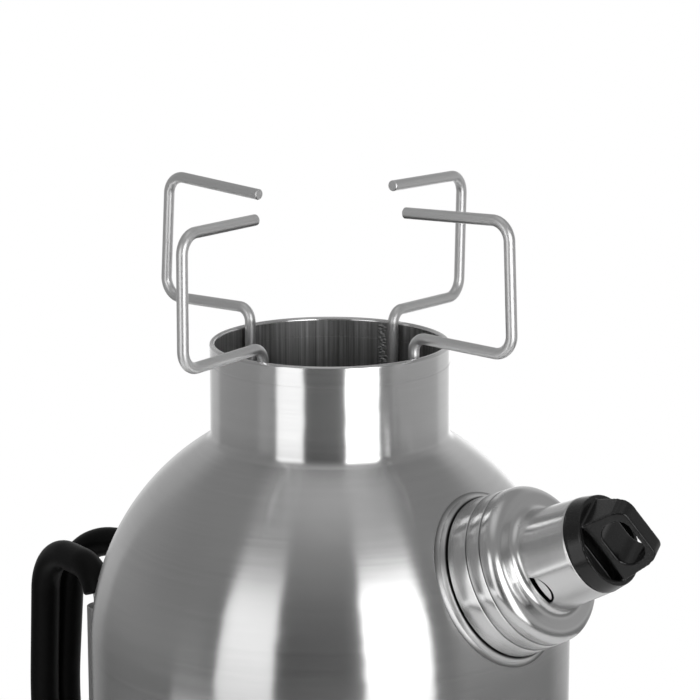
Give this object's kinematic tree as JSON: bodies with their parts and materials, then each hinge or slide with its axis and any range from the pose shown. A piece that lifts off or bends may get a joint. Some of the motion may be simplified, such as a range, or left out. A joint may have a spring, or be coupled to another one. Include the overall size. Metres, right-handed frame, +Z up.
{
  "type": "storm kettle",
  "caption": "Round steel camping kettle with a chimney through its middle, on a fire base, with a whistle cap and stopper, a folding loop handle and crossed wires that carry a pan.",
  "frame": {"origin": "on the ground under the middle of the fire base", "axes": "+Z up along the chimney, +X towards the spout, -X towards the handle"},
  "size_m": [0.2623, 0.1624, 0.338],
  "materials": {
    "satin_steel": "satin stainless steel, fine brushing round the axis",
    "flue_steel": "dull stainless steel with vertical streaks",
    "polished_steel": "polished stainless steel",
    "wire_steel": "satin drawn steel wire",
    "silicone": "matt translucent silicone",
    "black_rubber": "matt black rubber",
    "black_plastic": "fine-grained semi-matt black plastic"
  },
  "bodies": {
    "base": {"fire_base": "satin_steel"},
    "kettle": {"outer_shell": "satin_steel", "flue": "flue_steel", "bottom_ring": "flue_steel", "chimney_rim": "polished_steel", "spout_socket": "polished_steel", "handle_bracket": "satin_steel", "hinge_barrel_front": "satin_steel", "hinge_barrel_rear": "satin_steel"},
    "whistle": {"whistle_cap": "polished_steel", "spout_gasket": "silicone", "whistle_plate": "polished_steel"},
    "stopper": {"stopper_knob": "black_plastic", "stopper_seal": "black_rubber"},
    "handle_front": {"handle_wire_front": "wire_steel", "handle_sleeve_front": "black_rubber"},
    "handle_rear": {"handle_wire_rear": "wire_steel", "handle_sleeve_rear": "black_rubber"},
    "support_lower": {"support_wire_lower": "wire_steel"},
    "support_upper": {"support_wire_upper": "wire_steel"}
  },
  "joints": [
    {"name": "kettle_lift", "type": "slide", "parent": "base", "child": "kettle", "axis": [0, 0, 1], "range_m": [0, 0.12]},
    {"name": "cap_pull", "type": "slide", "parent": "kettle", "child": "whistle", "axis": [0.8988, 0, 0.4384], "range_m": [0, 0.05]},
    {"name": "stopper_pull", "type": "slide", "parent": "whistle", "child": "stopper", "axis": [0.8988, 0, 0.4384], "range_m": [0, 0.03]},
    {"name": "handle_front_hinge", "type": "hinge", "parent": "kettle", "child": "handle_front", "pos_m": [-0.0903, -0.01788, 0.138], "axis": [0, 0, 1], "range_deg": [0, 130]},
    {"name": "handle_rear_hinge", "type": "hinge", "parent": "kettle", "child": "handle_rear", "pos_m": [-0.0903, 0.01788, 0.138], "axis": [0, 0, -1], "range_deg": [0, 130]},
    {"name": "support_lower_lift", "type": "slide", "parent": "kettle", "child": "support_lower", "axis": [0, 0, 1], "range_m": [0, 0.12]},
    {"name": "support_upper_lift", "type": "slide", "parent": "support_lower", "child": "support_upper", "axis": [0, 0, 1], "range_m": [0, 0.12]}
  ]
}
